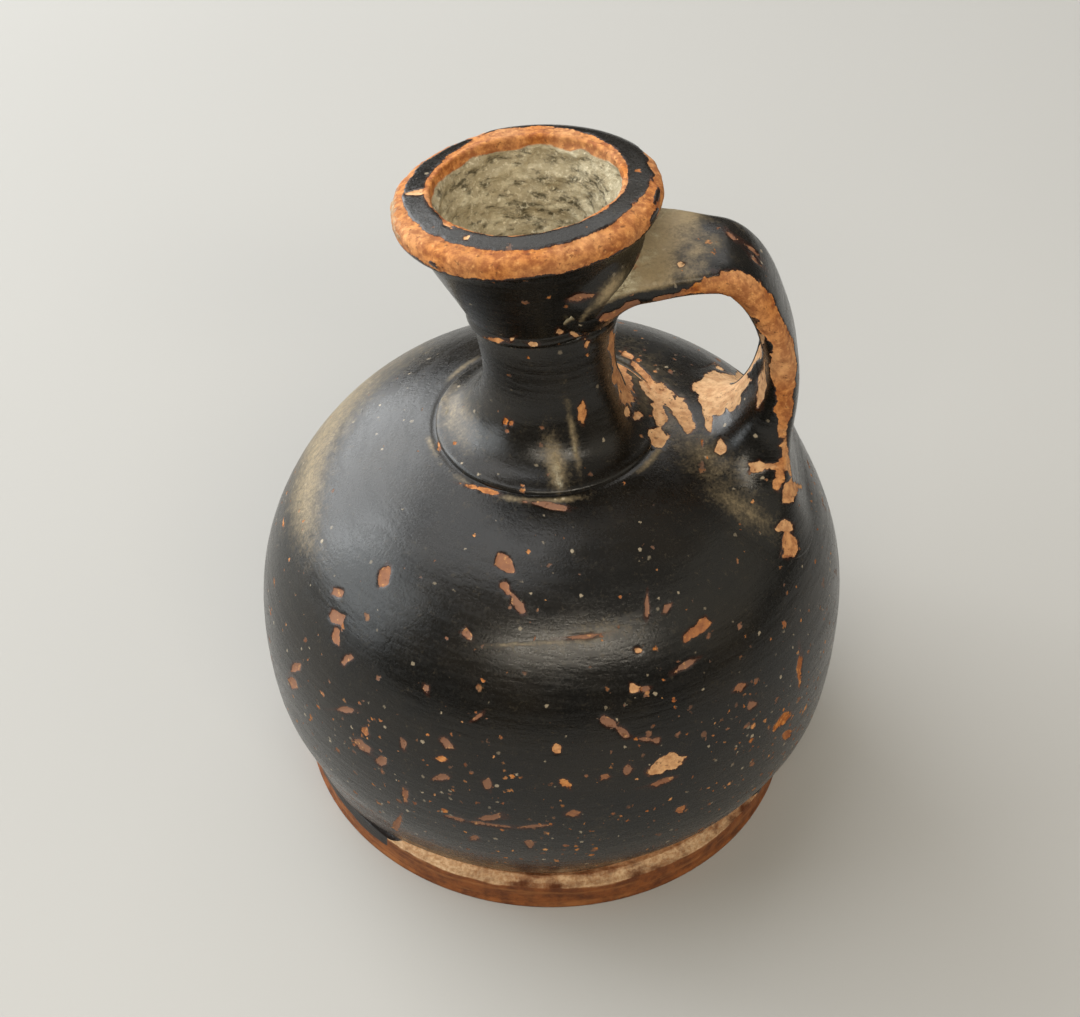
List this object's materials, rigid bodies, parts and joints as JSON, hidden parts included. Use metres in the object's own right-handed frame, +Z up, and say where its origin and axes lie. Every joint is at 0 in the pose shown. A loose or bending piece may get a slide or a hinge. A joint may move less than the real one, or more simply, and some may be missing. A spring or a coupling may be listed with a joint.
{
  "type": "lekythos",
  "caption": "Squat black-gloss lekythos: round body on a ring foot, narrow bent neck, funnel mouth with a moulded lip, and a strap handle from mouth to shoulder.",
  "frame": {"origin": "on the body's axis, on the plane that the foot ring stands on", "axes": "+Z up along the body's axis, +X towards the handle; the neck leans a little away from the handle and towards +Y"},
  "size_m": [0.088, 0.088, 0.1032],
  "materials": {
    "black_gloss": "worn black gloss slip with orange clay showing through at edges and chips",
    "bare_clay": "bare fired clay, dusty, with thin remains of slip"
  },
  "bodies": {
    "root": {"foot_ring": "bare_clay", "body": "black_gloss", "neck": "black_gloss", "mouth": "black_gloss", "handle": "black_gloss"}
  },
  "joints": []
}
